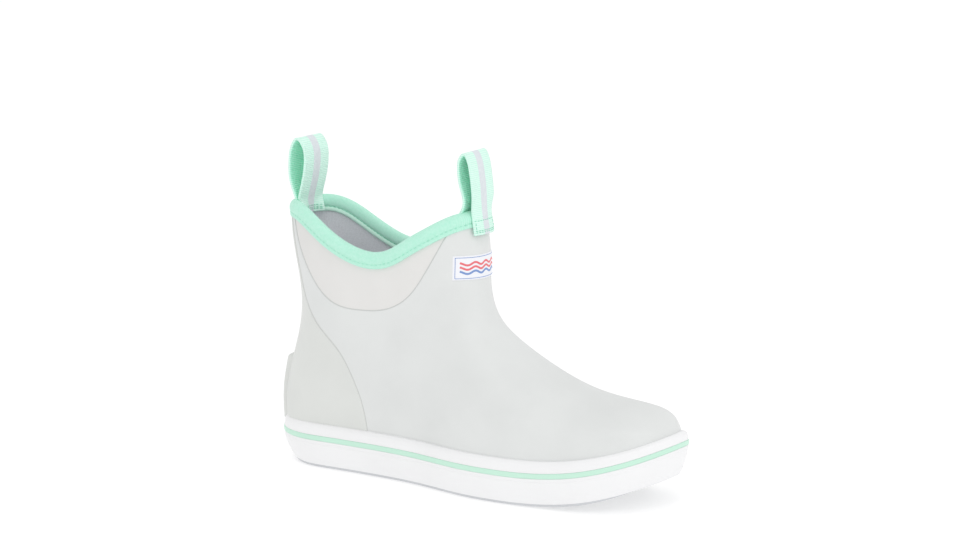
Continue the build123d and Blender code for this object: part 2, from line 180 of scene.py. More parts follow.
class Skin:
    """The form as a smooth surface. turn runs 0 heel, 0.5 inner side, 1 toe, 1.5 outer side, 2 heel."""
    PAD = 6

    def __init__(self, depth=0.0):
        self.form = Form(depth)
        rings = []
        for level in LEVELS:
            plan = self.form.ring(level)
            rings.append(np.column_stack([plan, level + spring(plan[:, 0])]))
        rings = np.array(rings)
        count = rings.shape[1]
        wrap = np.arange(-self.PAD, count + self.PAD + 1)
        self.rings = rings[:, wrap % count]
        self.over_levels = smooth_curve(LEVELS, np.eye(len(LEVELS)))
        self.over_turns = smooth_curve(wrap * 2 / count, np.eye(len(wrap)))

    def at(self, turn, level):
        turn, level = np.broadcast_arrays(np.asarray(turn, float) % 2, np.asarray(level, float))
        shape = turn.shape
        a, b = self.over_levels(level.ravel()), self.over_turns(turn.ravel())
        out = [np.einsum("ql,ltc,qt->qc", a[i:i + 4000], self.rings, b[i:i + 4000], optimize=True)
               for i in range(0, len(a), 4000)]
        return np.concatenate(out).reshape(shape + (3,))

    def normal(self, turn, level):
        across = self.at(turn + 2e-3, level) - self.at(turn - 2e-3, level)
        up = self.at(turn, level + 0.4) - self.at(turn, level - 0.4)
        normal = np.cross(up, across)
        return normal / np.linalg.norm(normal, axis=-1)[..., None]

    def proud(self, turn, level, out):
        """Points standing out of the surface by out."""
        turn, level, out = np.broadcast_arrays(turn, level, out)
        return self.at(turn, level) + self.normal(turn, level) * out[..., None]

    def turn_at(self, x, level, side):
        back, front = self.form.back(level), self.form.front(level)
        share = np.arccos(np.clip(1 - 2 * (x - back) / (front - back), -1, 1)) / np.pi
        return share if side > 0 else 2 - share

    def top(self, turn):
        """The collar's crest level at each turn."""
        level = np.full(np.shape(turn), 150.0)
        for _ in range(12):
            level = topline(self.at(turn, level)[..., 0])
        return level

    def path_down(self, turn, level, closed=True):
        """For a path on the surface, the steps in turn and level per millimetre square to it, downwards."""
        place = self.at(turn, level)
        if closed:
            tangent = np.roll(place, -1, axis=0) - np.roll(place, 1, axis=0)
        else:
            tangent = np.gradient(place, axis=0)
        by_turn = (self.at(turn + 1e-3, level) - self.at(turn - 1e-3, level)) / 2e-3
        by_level = (self.at(turn, level + 0.2) - self.at(turn, level - 0.2)) / 0.4
        share = (by_level * tangent).sum(-1) / (by_turn * tangent).sum(-1)
        size = np.linalg.norm(by_turn * share[:, None] - by_level, axis=-1)
        return share / size, -1 / size

    def band(self, turn, level, profile, closed=True):
        """Rows of points along a path, at each (distance down, height out) of a profile."""
        d_turn, d_level = self.path_down(turn, level, closed)
        down, out = np.array(profile, float).T
        return self.proud(turn + down[:, None] * d_turn, level + down[:, None] * d_level,
                          np.broadcast_to(out[:, None], (len(out), len(turn))))


def along(points, step):
    """Evenly spaced points on the smooth line through a few points."""
    points = np.array(points, float)
    run = np.r_[0, np.cumsum(np.linalg.norm(np.diff(points, axis=0), axis=1))]
    fine = smooth_curve(run, points)(np.linspace(0, run[-1], 2000))
    length = np.r_[0, np.cumsum(np.linalg.norm(np.diff(fine, axis=0), axis=1))]
    wanted = np.linspace(0, length[-1], int(length[-1] / step) + 1)
    return np.column_stack([np.interp(wanted, length, fine[:, i]) for i in range(fine.shape[1])])


# ---------------------------------------------------------------- meshes
def grid_faces(rows, cols, ring_rows=False, ring_cols=False):
    i, j = np.meshgrid(np.arange(rows if ring_rows else rows - 1), np.arange(cols if ring_cols else cols - 1),
                       indexing="ij")
    k, m = (i + 1) % rows, (j + 1) % cols
    return np.stack([i * cols + j, i * cols + m, k * cols + m, k * cols + j], -1).reshape(-1, 4)


def add_piece(name, points, faces, materials, body="root", pick=None, sharp=40, close=True):
    """A mesh object from points in millimetres, closed, cleaned and riding on a body."""
    mesh = bpy.data.meshes.new(name)
    mesh.from_pydata((np.asarray(points).reshape(-1, 3) / 1000).tolist(), [], np.asarray(faces).tolist())
    for material in materials:
        mesh.materials.append(material)
    if pick is not None:
        mesh.polygons.foreach_set("material_index", np.asarray(pick, dtype=np.int32))
    work = bmesh.new()
    work.from_mesh(mesh)
    bmesh.ops.remove_doubles(work, verts=work.verts, dist=2e-6)
    if close:
        bmesh.ops.holes_fill(work, edges=[e for e in work.edges if e.is_boundary], sides=0)
    bmesh.ops.recalc_face_normals(work, faces=work.faces)
    work.to_mesh(mesh)
    work.free()
    mesh.polygons.foreach_set("use_smooth", [True] * len(mesh.polygons))
    mesh.set_sharp_from_angle(angle=math.radians(sharp))
    piece = bpy.data.objects.new(name, mesh)
    bpy.context.scene.collection.objects.link(piece)
    if body:
        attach(piece, body)
    return piece


def add_stitches(name, centres, tangents, normals, length, radius, material, body="root"):
    """Short rounded thread stitches lying along a line."""
    sides, spans = 8, np.linspace(-1, 1, 9)
    angle = np.arange(sides) * 2 * np.pi / sides
    points, faces = [], []
    side = np.cross(tangents, normals)
    for n, (centre, tangent, normal, across) in enumerate(zip(centres, tangents, normals, side)):
        for span in spans:
            width = radius * max(1 - abs(span) ** 3, 0.02) ** 0.5
            sink = -0.35 * radius * span ** 2
            ring = (np.cos(angle)[:, None] * across + np.sin(angle)[:, None] * normal) * width
            points.append(centre + tangent * span * length / 2 + normal * sink + ring)
        faces.append(grid_faces(len(spans), sides, ring_cols=True) + n * len(spans) * sides)
    return add_piece(name, np.vstack(points), np.vstack(faces), [material], body, sharp=80)


# ---------------------------------------------------------------- materials
def tone(red, green, blue):
    """A display colour, 0 to 255, as linear light."""
    share = np.array([red, green, blue]) / 255
    linear = np.where(share <= 0.04045, share / 12.92, ((share + 0.055) / 1.055) ** 2.4)
    return (*linear.tolist(), 1.0)


class Paint:
    """A material's node tree, with short ways to add what these materials share."""

    def __init__(self, name, roughness, **sockets):
        self.material = bpy.data.materials.new(name)
        self.material.use_nodes = True
        self.tree = self.material.node_tree
        self.shader = self.tree.nodes["Principled BSDF"]
        self.shader.inputs["Roughness"].default_value = roughness
        for key, value in sockets.items():
            self.shader.inputs[key.replace("_", " ")].default_value = value
        self.place = self.add("ShaderNodeTexCoord").outputs["Object"]

    def add(self, kind, **settings):
        node = self.tree.nodes.new(kind)
        for key, value in settings.items():
            setattr(node, key, value)
        return node

    def link(self, source, target):
        self.tree.links.new(source, target)

    def stretched(self, x, y, z):
        mapping = self.add("ShaderNodeMapping")
        mapping.inputs["Scale"].default_value = (x, y, z)
        self.link(self.place, mapping.inputs["Vector"])
        return mapping.outputs["Vector"]

    def noise(self, size, detail=3.0, place=None):
        """Noise whose features are about size millimetres across."""
        node = self.add("ShaderNodeTexNoise")
        node.inputs["Scale"].default_value = 1000 / size
        node.inputs["Detail"].default_value = detail
        self.link(place or self.place, node.inputs["Vector"])
        return node.outputs["Fac"]

    def wave(self, pitch, direction, shape="SIN", wobble=0.0, place=None):
        """Bands of a pitch in millimetres along an axis."""
        node = self.add("ShaderNodeTexWave", wave_type="BANDS", bands_direction=direction, wave_profile=shape)
        node.inputs["Scale"].default_value = 1000 * math.pi / 10 / pitch
        node.inputs["Distortion"].default_value = wobble
        node.inputs["Detail"].default_value = 1.0
        self.link(place or self.place, node.inputs["Vector"])
        return node.outputs["Fac"]

    def ramp(self, value, stops):
        node = self.add("ShaderNodeValToRGB")
        elements = node.color_ramp.elements
        while len(elements) < len(stops):
            elements.new(0.5)
        for element, (place, colour) in zip(elements, stops):
            element.position, element.color = place, colour
        self.link(value, node.inputs["Fac"])
        return node.outputs["Color"]

    def span(self, value, low, high):
        node = self.add("ShaderNodeMapRange")
        node.inputs["To Min"].default_value, node.inputs["To Max"].default_value = low, high
        self.link(value, node.inputs["Value"])
        return node.outputs["Result"]

    def maths(self, operation, a, b):
        node = self.add("ShaderNodeMath", operation=operation)
        for socket, value in zip(node.inputs, (a, b)):
            if isinstance(value, (int, float)):
                socket.default_value = value
            else:
                self.link(value, socket)
        return node.outputs["Value"]

    def mix(self, a, share_a, b, share_b):
        return self.maths("ADD", self.maths("MULTIPLY", a, share_a), self.maths("MULTIPLY", b, share_b))

    def colour(self, value, stops):
        self.link(self.ramp(value, stops), self.shader.inputs["Base Color"])

    def rough(self, value, low, high):
        self.link(self.span(value, low, high), self.shader.inputs["Roughness"])

    def bump(self, height, depth, strength=1.0):
        """Surface relief; depth in millimetres for a height of 1. Several calls add up."""
        node = self.add("ShaderNodeBump")
        node.inputs["Strength"].default_value = strength
        node.inputs["Distance"].default_value = depth / 1000
        self.link(height, node.inputs["Height"])
        target = self.shader.inputs["Normal"]
        if target.is_linked:
            self.link(target.links[0].from_socket, node.inputs["Normal"])
        self.link(node.outputs["Normal"], target)


def rubber(name, colour, roughness=0.46, grain=0.5, cast=4):
    """Satin sheet rubber: faint cloudy tone, fine grain, slight shimmer of uneven gloss."""
    paint = Paint(name, roughness, Coat_Weight=0.12, Coat_Roughness=0.35, IOR=1.5)
    darker, lighter = [max(c - cast, 0) for c in colour], [min(c + cast * 0.6, 255) for c in colour]
    paint.colour(paint.noise(38, 4), [(0.3, tone(*darker)), (0.55, tone(*colour)), (0.75, tone(*lighter))])
    paint.rough(paint.noise(9, 3), roughness - 0.05, roughness + 0.06)
    paint.bump(paint.noise(grain, 2), 0.02, 0.35)
    paint.bump(paint.noise(14, 2), 0.25, 0.25)
    return paint.material


def cloth(name, colour, shade, pitch=0.9, sheen=0.25, across="X", up="Z", rib=0.0):
    """Woven tape: two crossing sets of threads with a soft sheen, and a rib pattern across it at the pitch of
    rib, with its grooves painted darker as shade.
    """
    paint = Paint(name, 0.85, Sheen_Weight=sheen, Sheen_Roughness=0.5)
    threads = [paint.wave(pitch, across, wobble=0.6), paint.wave(pitch * 0.8, up, wobble=0.6)]
    weave = paint.maths("MULTIPLY", *threads)
    tint = paint.mix(weave, 0.55, paint.noise(1.6), 0.45)
    if rib:
        # The rib pattern both raises the relief and darkens the colour in its grooves: painted shade.
        rib_relief_and_shade = paint.wave(rib, up, wobble=0.3)
        tint = paint.mix(tint, 0.45, rib_relief_and_shade, 0.5)
        paint.bump(rib_relief_and_shade, 0.18, 0.7)
    # The colour's dark end is a shade colour: the weave's hollows are painted as shade, and the noise gives
    # random tone.
    paint.colour(tint, [(0.15, tone(*shade)), (0.6, tone(*colour))])
    paint.bump(weave, 0.09, 0.6)
    paint.bump(paint.noise(0.35, 2), 0.05, 0.4)
    return paint.material


def lining_cloth():
    """Brushed knit: fine wales with a heathered grey tone."""
    paint = Paint("lining_knit", 0.92, Sheen_Weight=0.35, Sheen_Roughness=0.6)
    wales = paint.wave(0.8, "X", wobble=2.2)
    courses = paint.wave(0.6, "Z", wobble=2.2)
    knit = paint.maths("MULTIPLY", wales, courses)
    tint = paint.mix(knit, 0.25, paint.noise(0.8, 4), 0.75)
    paint.colour(tint, [(0.25, tone(214, 213, 219)), (0.5, tone(225, 224, 230)), (0.7, tone(233, 232, 238))])
    paint.bump(knit, 0.1, 0.5)
    paint.bump(paint.noise(0.6, 3), 0.08, 0.4)
    return paint.material


def board_cloth(name, colour, shade, size):
    """Pressed fibre, foam and moulded inner sheets: mottled and matt."""
    paint = Paint(name, 0.9)
    paint.colour(paint.noise(size, 4), [(0.35, tone(*shade)), (0.65, tone(*colour))])
    paint.bump(paint.noise(size * 0.6, 3), 0.15, 0.5)
    return paint.material


UPPER = rubber("upper_rubber", (222, 224, 223))
# The counter rubber is the upper's grey painted a little darker as shade; the kick tab wears it too.
COUNTER_SHADED_RUBBER = rubber("counter_rubber_painted_shade", (219, 221, 218))
GORE = rubber("gore_rubber", (225, 224, 222), roughness=0.52, grain=0.4)
# A darker grey painted as shade along the overlap steps at the side panels' and counter's edges.
SEAM_SHADE_LINE = rubber("seam_painted_shade_line", (202, 204, 202), roughness=0.6)
FOXING = rubber("foxing_rubber", (240, 240, 241), roughness=0.4, grain=0.7, cast=2)
STRIPE = rubber("stripe_rubber", (198, 236, 217), roughness=0.4, cast=3)
SOLE = rubber("sole_rubber", (206, 208, 211), roughness=0.6, grain=0.8, cast=5)
PLATE = rubber("plate_rubber", (208, 210, 211), roughness=0.45)
BINDING = cloth("binding_tape", (204, 245, 230), (170, 235, 210), pitch=0.7)
# A lighter copy of the tape for its rolled inner edge: painted highlight.
BINDING_FOLD_HIGHLIGHT = cloth("binding_fold_painted_highlight", (222, 250, 238), (198, 243, 224), pitch=0.7)
WEB = cloth("mint_webbing", (226, 254, 243), (202, 249, 231), pitch=0.55, across="Y", rib=1.15)
# A darker copy of the mint webbing for the straps' inner faces: painted shade inside the loops.
WEB_INNER_SHADED = cloth("mint_webbing_inner_painted_shade", (214, 255, 240), (152, 240, 209), pitch=0.55, across="Y", rib=1.15)
WEB_STRIPE = cloth("webbing_stripe", (231, 236, 239), (212, 219, 224), pitch=0.5, across="Y")
THREAD = cloth("mint_thread", (168, 232, 208), (124, 208, 178), pitch=0.3, sheen=0.4)
# A lighter copy of the mint thread for the outer stitching: painted light on the collar's lit outer face.
THREAD_LIT = cloth("mint_thread_painted_lit", (186, 240, 220), (152, 224, 198), pitch=0.3, sheen=0.4)
LINING = lining_cloth()
FOOTBED = board_cloth("footbed_cloth", (188, 187, 193), (160, 159, 166), 0.7)
FILLER = board_cloth("filler_sponge", (150, 152, 155), (120, 122, 126), 1.5)
BOARD = board_cloth("fibre_board", (196, 184, 160), (168, 154, 128), 2.0)
TOE_SHEET = board_cloth("toe_stiffener_sheet", (206, 200, 186), (186, 178, 162), 3.0)
HEEL_SHEET = board_cloth("heel_stiffener_sheet", (206, 200, 186), (186, 178, 162), 3.0)
BADGE = rubber("badge_face", (240, 241, 246), roughness=0.35, cast=2)
BADGE_BLUE = rubber("badge_blue", (120, 150, 205), roughness=0.4, cast=3)
BADGE_RED = rubber("badge_coral", (232, 112, 120), roughness=0.4, cast=3)

skin = Skin()
inner_skin = Skin(LINING_IN)


# ---------------------------------------------------------------- upper
def gore_line(side):
    """Turns and levels along the side panel's edge, below the collar's crest."""
    line = along(GORE_EDGE, 1.5)
    line = line[line[:, 1] < topline(line[:, 0]) - 0.3]
    return skin.turn_at(line[:, 0], line[:, 1], side), line[:, 1]


def upper_columns():
    """Columns round the boot and the level where the front panel's rubber ends on each."""
    turns, tops = [], []
    for side in (1, -1):
        edge_turn, edge_level = gore_line(side)
        share = edge_turn if side > 0 else 2 - edge_turn
        heel = np.linspace(0, share[0], 14)[:-1]
        toe = np.linspace(share[-1], 1, 24)[1:]
        turn = np.r_[heel, share, toe]
        turn = turn if side > 0 else 2 - turn
        top = skin.top(turn)
        top[len(heel):len(heel) + len(share)] = edge_level
        turns.append(turn if side > 0 else turn[::-1][1:-1])
        tops.append(top if side > 0 else top[::-1][1:-1])
    return np.concatenate(turns), np.concatenate(tops)


def make_vamp():
    turn, top = upper_columns()
    share = np.linspace(0, 1, 110)[:-1]
    low = RUBBER_LOW
    rows = [(low + (top - low - 0.6) * s, 0.0) for s in share]
    edge = [(0.5, 0.0), (0.25, -0.03), (0.08, -0.12), (0, -0.3), (0, -0.9), (0, -1.5)]
    rows += [(top - down, out) for down, out in edge]
    rows += [(low + (top - low) * s, -RUBBER) for s in np.linspace(0.97, 0, 14)]
    points = np.array([skin.proud(turn, level, out) for level, out in rows])
    faces = grid_faces(len(rows), len(turn), True, True)
    piece = add_piece("vamp_shell", points, faces, [UPPER])
    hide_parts("vamp")


def make_gore(side, name, node):
    turn, edge = gore_line(side)
    top = skin.top(turn) - 0.2
    start = edge - 2.0
    rows = [(start + rise, out) for rise, out in ((0.0, -0.62), (0.5, -0.6), (0.9, -0.58))]
    rows += [(start + 1.0 + (top - start - 1.0) * s, -GORE_SINK) for s in np.linspace(0.05, 1, 44)]
    rows += [(start + (top - start) * s, -1.9) for s in np.linspace(1, 0, 6)]
    points = np.array([skin.proud(turn, level, out) for level, out in rows])
    piece = add_piece(name, points, grid_faces(len(rows), len(turn), ring_rows=True), [GORE])
    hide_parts(node)
    # A thin bead along the panel's edge in the darker grey: painted shade of the overlap's step.
    bead = [(-0.75, -0.7), (-0.6, -0.42), (-0.3, -0.34), (0.05, -0.36), (0.15, -0.7)]
    seam = skin.band(turn[2:-2], edge[2:-2], bead, closed=False)
    add_piece(name + "_seam", seam, grid_faces(len(bead), seam.shape[1], ring_rows=True), [SEAM_SHADE_LINE])


def make_counter():
    line = along(COUNTER_EDGE, 1.4)
    line = line[(line[:, 1] > SEAM_LOW) & (line[:, 1] < COUNTER_TOP)]
    share = skin.turn_at(line[:, 0], line[:, 1], 1)
    level = line[:, 1]
    spans = np.linspace(0, 1, 30)
    strides = np.diff(skin.at(share[:, None] * spans, level[:, None]), axis=1)
    half_run = np.linalg.norm(strides, axis=2).sum(axis=1)
    lip = [(0.0, -0.35), (0.0, 0.1), (0.12, 0.42), (0.35, 0.56), (0.8, 0.6), (1.5, 0.56)]
    lip.append((LIP_WIDTH, COUNTER_PROUD))
    columns = [((1 - d / half_run), out) for d, out in lip]
    columns += [(s * (1 - LIP_WIDTH / half_run), COUNTER_PROUD) for s in np.linspace(0.97, -0.97, 90)]
    columns += [(-(1 - d / half_run), out) for d, out in lip[::-1]]
    columns += [(np.full_like(half_run, s), -0.6) for s in np.linspace(-0.96, 0.96, 16)]
    points = np.array([skin.proud(share * s, level, out) for s, out in columns])
    faces = grid_faces(len(columns), len(level), ring_rows=True)
    # The overlay wears the darker counter rubber: painted shade.
    piece = add_piece("heel_counter_overlay", points, faces, [COUNTER_SHADED_RUBBER])
    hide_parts("heel_counter")
    # Beads along the counter's edges in the darker grey: painted shade of the overlap's step.
    bead = [(-0.6, -0.3), (-0.5, 0.03), (-0.2, 0.1), (0.1, 0.12), (0.2, -0.3)]
    for side, turn in (("inner", share), ("outer", 2 - share)):
        seam = skin.band(turn[2:-1], level[2:-1], bead, closed=False)
        faces = grid_faces(len(bead), seam.shape[1], ring_rows=True)
        add_piece(f"heel_counter_{side}_seam", seam, faces, [SEAM_SHADE_LINE])


def heel_x(y, level, surface=skin):
    """x of the surface's heel end at y and a level."""
    turn = np.linspace(-0.3, 0.3, 61)
    ring = surface.at(turn, np.full(61, float(level)))
    return np.interp(y, ring[:, 1], ring[:, 0])


def toe_x(y, level, surface=skin):
    turn = np.linspace(1.35, 0.65, 71)
    ring = surface.at(turn, np.full(71, float(level)))
    return np.interp(y, ring[:, 1], ring[:, 0])


def make_kick_tab():
    low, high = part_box("kick_tab")
    top, half = high[2] * 1000, (high[1] - low[1]) * 500
    middle = (high[1] + low[1]) * 500
    angle = np.linspace(-90, 90, 49) * np.pi / 180
    rows = []
    for z, shrink in [(24, 0), (30, 0), (38, 0), (46, 0), (54, 0), (60, 0), (62.3, 0.05), (63.1, 0.25),
                      (63.6, 0.6), (top, 1.2), (top, 2.4), (top, 3.8)]:
        y = (half - shrink) * np.sign(np.sin(angle)) * np.abs(np.sin(angle)) ** 0.42
        inside = heel_x(middle + y, z) + 1.0
        face = float(skin.form.back(min(z, 62))) - KICK_TAB_PROUD + y ** 2 / 110 + shrink
        x = inside + (np.minimum(face, inside) - inside) * np.cos(angle) ** 0.3
        rear_y = np.linspace(y[-1], y[0], 17)[1:-1]
        plan = np.vstack([np.column_stack([x, middle + y]),
                          np.column_stack([heel_x(middle + rear_y, z) + 1.0, middle + rear_y])])
        rows.append(np.column_stack([plan, np.full(len(plan), z)]))
    faces = grid_faces(len(rows), len(plan), ring_cols=True)
    # The kick tab wears the darker counter rubber: painted shade.
    piece = add_piece("kick_tab_block", np.array(rows), faces, [COUNTER_SHADED_RUBBER], sharp=60)
    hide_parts("kick_tab")


# ---------------------------------------------------------------- collar, lining and footbed
# the tape round the collar from its outer edge over the crest to its inner fold: (down, out)
BINDING_PROFILE = [
    (8.9, -0.4), (8.95, 0.6), (8.8, 1.0), (8.4, 1.22), (7.7, 1.28), (7.0, 1.2), (6.7, 1.08),
    (6.4, 0.98), (6.1, 1.08), (5.7, 1.3), (4.9, 1.52), (3.8, 1.62), (2.6, 1.5), (1.4, 1.15),
    (0.3, 0.5), (-0.5, -0.35), (-0.95, -1.3), (-1.1, -2.3), (-0.95, -3.3), (-0.5, -4.2), (0.3, -5.0),
    (1.4, -5.6), (2.6, -5.95), (3.8, -6.1), (4.9, -6.0), (5.6, -5.75), (5.95, -5.5), (6.2, -5.35),
    (6.5, -5.6), (6.9, -5.95), (7.6, -6.2), (8.3, -6.2), (8.9, -5.95), (9.2, -5.4), (9.2, -4.6),
    (9.0, -2.5)]
# Profile rows that take the lighter tape copy: a painted highlight along the rolled inner edge.
FOLD_START, FOLD_END = 28, 34


def make_binding():
    turn = np.linspace(0, 2, 420, endpoint=False)
    level = skin.top(turn)
    points = skin.band(turn, level, BINDING_PROFILE)
    rows, cols = len(BINDING_PROFILE), len(turn)
    pick = np.repeat([1 if FOLD_START <= i < FOLD_END else 0 for i in range(rows)], cols)
    faces = grid_faces(rows, cols, True, True)
    piece = add_piece("collar_tape", points, faces, [BINDING, BINDING_FOLD_HIGHLIGHT], pick=pick, sharp=70)
    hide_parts("collar_binding")
    # The outer stitching takes the lighter thread copy: painted light.
    for name, down, out, pitch, thread in (("outer_stitching", 6.4, 1.0, 3.1, THREAD_LIT),
                                           ("inner_stitching", 6.2, -5.42, 2.7, THREAD)):
        line = skin.band(turn, level, [(down, out)])[0]
        line = np.vstack([line, line[:1]])
        run = np.r_[0, np.cumsum(np.linalg.norm(np.diff(line, axis=0), axis=1))]
        count = int(run[-1] / pitch)
        wanted = (np.arange(count) + 0.5) * run[-1] / count
        centre = np.column_stack([np.interp(wanted, run, line[:, i]) for i in range(3)])
        ahead = np.column_stack([np.interp((wanted + 0.5) % run[-1], run, line[:, i]) for i in range(3)])
        tangent = ahead - centre
        tangent /= np.linalg.norm(tangent, axis=1)[:, None]
        at = np.interp(wanted, run, np.r_[turn, 2.0])
        normal = skin.normal(at, skin.top(at)) * (1 if out > 0 else -1)
        normal -= tangent * (normal * tangent).sum(1)[:, None]
        normal /= np.linalg.norm(normal, axis=1)[:, None]
        add_stitches(name, centre + normal * 0.1, tangent, normal, STITCH, STITCH_RADIUS, thread)


def make_lining():
    turn = np.linspace(0, 2, 220, endpoint=False)
    top = skin.top(turn) - 2.0
    low = 14.0
    shares = np.linspace(0, 1, 90)
    rows = [inner_skin.at(turn, low + (top - low) * s) for s in shares]
    rows += [inner_skin.proud(turn, low + (top - low) * s, 0.7) for s in shares[::-3]]
    piece = add_piece("lining_sock", np.array(rows), grid_faces(len(rows), len(turn), True, True), [LINING])
    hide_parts("lining")


def make_footbed():
    """A foam footbed with a cupped heel, swelled by a short cloth simulation."""
    low_z, high_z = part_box("footbed")[0][2] * 1000, 17.2
    turn = np.linspace(0, 2, 96, endpoint=False)
    outline = inner_skin.at(turn, 13.0)
    centre = np.column_stack([outline[:, 0], inner_skin.form.middle(outline[:, 0], 13.0)])
    centre[:, 0] = np.clip(centre[:, 0], -108, 106)
    rows = []
    section = [(0.0, 0), (0.5, 0), (0.9, 0), (0.97, 0.1), (0.985, 0.5), (0.97, 0.9), (0.9, 1), (0.5, 1),
               (0.0, 1)]
    for share, height in section:
        plan = centre + (outline[:, :2] - centre) * share * 0.985
        rise = low_z + 0.3 + (high_z - low_z - 0.9) * height
        rows.append(np.column_stack([plan, rise + spring(plan[:, 0])]))
    faces = grid_faces(len(rows), len(turn), ring_cols=True)
    piece = add_piece("footbed_pad", np.array(rows), faces, [FOOTBED], body=None)
    remesh = piece.modifiers.new("remesh", "REMESH")
    remesh.mode, remesh.voxel_size = "VOXEL", 0.0022
    settle(piece)
    start = np.array([v.co[:] for v in piece.data.vertices])
    puff = piece.modifiers.new("puff", "CLOTH")
    puff.settings.use_pressure, puff.settings.uniform_pressure_force = True, 2.5
    puff.settings.effector_weights.gravity = 0
    scene = bpy.context.scene
    for step in range(1, 13):
        scene.frame_set(step)
    settle(piece)
    scene.frame_set(1)
    moved = np.array([v.co[:] for v in piece.data.vertices]) - start
    length = np.linalg.norm(moved, axis=1)
    moved *= (np.minimum(length, 0.0006) / np.maximum(length, 1e-9))[:, None]
    piece.data.vertices.foreach_set("co", (start + moved).ravel())
    smooth = piece.modifiers.new("smooth", "SUBSURF")
    smooth.levels = smooth.render_levels = 1
    settle(piece)
    place = np.array([v.co[:] for v in piece.data.vertices]) * 1000
    middle = inner_skin.form.middle(place[:, 0], 13.0)
    over = smooth_step(low_z + 3.2, low_z + 5.5, place[:, 2] - spring(place[:, 0]))
    cup = smooth_step(60, 125, -place[:, 0]) * np.clip(np.abs(place[:, 1] - middle) / 26, 0, 1) ** 2.5
    arch = np.exp(-((place[:, 0] + 25) / 32) ** 2) * smooth_step(4, 27, place[:, 1] - middle)
    place[:, 2] += over * (1.6 * cup + 1.8 * arch)
    piece.data.vertices.foreach_set("co", (place / 1000).ravel())
    piece.data.polygons.foreach_set("use_smooth", [True] * len(piece.data.polygons))
    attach(piece, "root")
    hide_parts("footbed", "footbed_cover")


def settle(piece):
    """Turns a piece's modifiers into its mesh."""
    graph = bpy.context.evaluated_depsgraph_get()
    mesh = bpy.data.meshes.new_from_object(piece.evaluated_get(graph))
    old = piece.data
    piece.modifiers.clear()
    piece.data = mesh
    bpy.data.meshes.remove(old)


# ---------------------------------------------------------------- sole
plan_form = Form()
plan_base = plan_form.ring(20.0, 33)
plan_tangent = np.roll(plan_base, -1, axis=0) - np.roll(plan_base, 1, axis=0)
plan_tangent /= np.linalg.norm(plan_tangent, axis=1)[:, None]
plan_out = np.column_stack([-plan_tangent[:, 1], plan_tangent[:, 0]])
plan_wrap = np.arange(-6, len(plan_base) + 7)
plan_smooth = smooth_curve(plan_wrap / len(plan_base), np.eye(len(plan_wrap)))
wall_lean = smooth_curve(*np.transpose(WALL_LEAN))


def wall_ring(level, inset):
    """Points round the sole wall at a level, moved in from the wall's own surface."""
    x = plan_base[:, 0]
    toe, heel = smooth_step(85, 136, x), smooth_step(95, 136, -x)
    foot = (1 - level / 20) ** 2 if level < 20 else 0.0
    bevel = foot * (HEEL_BEVEL * heel + TOE_BEVEL * toe)
    grow = WALL + WALL_TOE_EXTRA * toe + WALL_HEEL_EXTRA * heel - inset - bevel
    plan = (plan_base + plan_out * grow[:, None])[plan_wrap % len(plan_base)]
    plan = plan_smooth(np.arange(WALL_POINTS) / WALL_POINTS) @ plan
    return np.column_stack([plan, level + spring(plan[:, 0])])


def make_foxing():
    foot_levels = [1.7, 1.9, 2.4, 3.1, 3.8, 4.5, *np.arange(5.2, 15.0, 1.0)]
    groove_levels = [15.1, 15.35, 15.6, 15.85, 16.1, 16.6, 17.2, 17.55, 17.7]
    channel_levels = [17.8, 19.4, 21.0, 21.1, 21.25, 21.6]
    top_levels = [*np.arange(22.2, 25.6, 0.6), 25.8, 26.2, 26.6, 26.9, 27.2]
    rows = []
    for level in foot_levels + groove_levels + channel_levels + top_levels:
        groove = 0.22 * math.exp(-((level - 15.6) / 0.3) ** 2)
        channel = 0.35 if 17.75 < level < 21.05 else 0.0
        bead = 0.25 * math.exp(-((level - 5.4) / 0.5) ** 2)
        over_outsole = 0.3 * float(smooth_step(-5.4, -4.4, -level))
        rows.append(wall_ring(level, float(wall_lean(level)) + groove + channel - bead - over_outsole))
    rim_and_back = [(27.45, 3.1), (27.6, 3.8), (27.6, 4.7), (27.2, 5.8), (24, 6.3), (12, 6.5), (5.0, 8.0),
                    (1.8, 6.0)]
    rows += [wall_ring(level, inset) for level, inset in rim_and_back]
    faces = grid_faces(len(rows), WALL_POINTS, True, True)
    piece = add_piece("foxing_wall", np.array(rows), faces, [FOXING], sharp=50)
    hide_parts("foxing_band")
    profile = [(17.82, 0.9), (17.82, 0.05), (17.9, -0.12), (18.1, -0.22), (18.7, -0.27), (19.4, -0.28),
               (20.1, -0.27), (20.7, -0.22), (20.9, -0.12), (20.98, 0.05), (20.98, 0.9)]
    rows = [wall_ring(level, float(wall_lean(level)) + inset) for level, inset in profile]
    faces = grid_faces(len(rows), WALL_POINTS, True, True)
    piece = add_piece("foxing_stripe_line", np.array(rows), faces, [STRIPE], sharp=60)
    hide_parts("foxing_stripe")


def make_tucked(node, name, material):
    """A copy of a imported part, drawn in at toe and heel to sit under the wall's slimmer ends."""
    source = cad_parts[node]
    mesh = source.data.copy()
    mesh.transform(source.matrix_world)
    place = np.array([v.co[:] for v in mesh.vertices]) * 1000
    toe, heel = smooth_step(85, 136, place[:, 0]), smooth_step(95, 136, -place[:, 0])
    middle = axis_y(place[:, 0])
    place[:, 1] = middle + (place[:, 1] - middle) * (1 - NARROW_TOE * toe - NARROW_HEEL * heel)
    place[:, 0] += TUCK_HEEL * heel - TUCK_TOE * toe
    mesh.vertices.foreach_set("co", (place / 1000).ravel())
    mesh.materials.clear()
    mesh.materials.append(material)
    mesh.polygons.foreach_set("material_index", [0] * len(mesh.polygons))
    piece = bpy.data.objects.new(name, mesh)
    bpy.context.scene.collection.objects.link(piece)
    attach(piece, "root")
    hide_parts(node)


